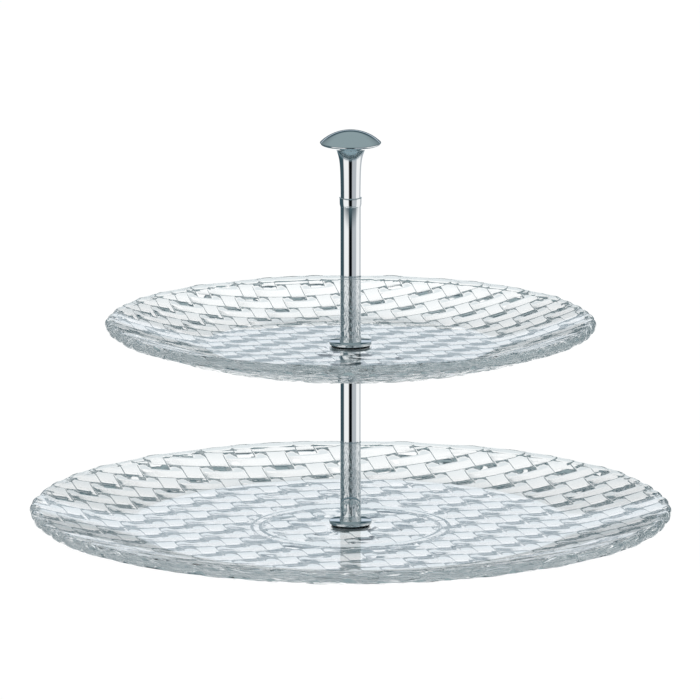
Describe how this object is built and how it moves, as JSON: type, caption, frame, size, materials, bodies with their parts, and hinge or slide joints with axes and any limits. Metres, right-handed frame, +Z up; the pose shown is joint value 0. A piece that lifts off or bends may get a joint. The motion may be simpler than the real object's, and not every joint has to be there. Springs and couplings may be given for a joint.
{
  "type": "tiered cake stand",
  "caption": "Tiered cake stand with round pressed-glass dishes in a basket-weave relief, clamped on a slim chromed pole with a mushroom-shaped lifting finial.",
  "frame": {"origin": "on the table, under the middle of the lower dish's foot ring", "axes": "+Z up the pole to the finial; X and Y level"},
  "size_m": [0.32, 0.32, 0.2088],
  "materials": {
    "pressed_glass": "clear pressed glass, polished",
    "chrome": "mirror chrome plating",
    "steel": "bright zinc-plated steel",
    "brass": "turned brass",
    "clear_plastic": "clear soft plastic"
  },
  "bodies": {
    "base": {"lower_plate": "pressed_glass", "base_screw": "steel", "base_washer": "clear_plastic", "lower_seat_gasket": "clear_plastic"},
    "lower_flange": {"lower_disc": "chrome"},
    "lower_pole": {"lower_foot_collar": "chrome", "lower_foot_insert": "brass", "lower_rod": "chrome", "lower_top_insert": "brass", "upper_stud": "steel", "upper_rest_disc": "chrome", "upper_rest_gasket": "clear_plastic"},
    "upper_tier": {"upper_plate": "pressed_glass", "upper_seat_gasket": "clear_plastic"},
    "upper_flange": {"upper_disc": "chrome"},
    "upper_pole": {"upper_foot_collar": "chrome", "upper_foot_insert": "brass", "upper_rod": "chrome", "upper_top_insert": "brass", "finial_stud": "steel"},
    "top_ring": {"finial_ring": "chrome"},
    "knob": {"finial": "chrome"}
  },
  "joints": [
    {"name": "lower_pole_lift", "type": "slide", "parent": "base", "child": "lower_flange", "axis": [0, 0, 1], "range_m": [0, 0.0075]},
    {"name": "lower_pole_turn", "type": "hinge", "parent": "lower_flange", "child": "lower_pole", "pos_m": [0, 0, 0.0137], "axis": [0, 0, 1], "range_deg": [0, 2700]},
    {"name": "upper_plate_turn", "type": "hinge", "parent": "lower_pole", "child": "upper_tier", "pos_m": [0, 0, 0.0952], "axis": [0, 0, 1], "continuous": true},
    {"name": "upper_pole_lift", "type": "slide", "parent": "lower_pole", "child": "upper_flange", "axis": [0, 0, 1], "range_m": [0, 0.0075]},
    {"name": "upper_pole_turn", "type": "hinge", "parent": "upper_flange", "child": "upper_pole", "pos_m": [0, 0, 0.1046], "axis": [0, 0, 1], "range_deg": [0, 2700]},
    {"name": "finial_lift", "type": "slide", "parent": "upper_pole", "child": "top_ring", "axis": [0, 0, 1], "range_m": [0, 0.0075]},
    {"name": "finial_turn", "type": "hinge", "parent": "top_ring", "child": "knob", "pos_m": [0, 0, 0.175], "axis": [0, 0, 1], "range_deg": [0, 2700]}
  ],
  "couplings": [
    {"joint": "lower_pole_turn", "follows": "lower_pole_lift", "rad_per_m": 6283.2},
    {"joint": "upper_pole_turn", "follows": "upper_pole_lift", "rad_per_m": 6283.2},
    {"joint": "finial_turn", "follows": "finial_lift", "rad_per_m": 6283.2}
  ]
}
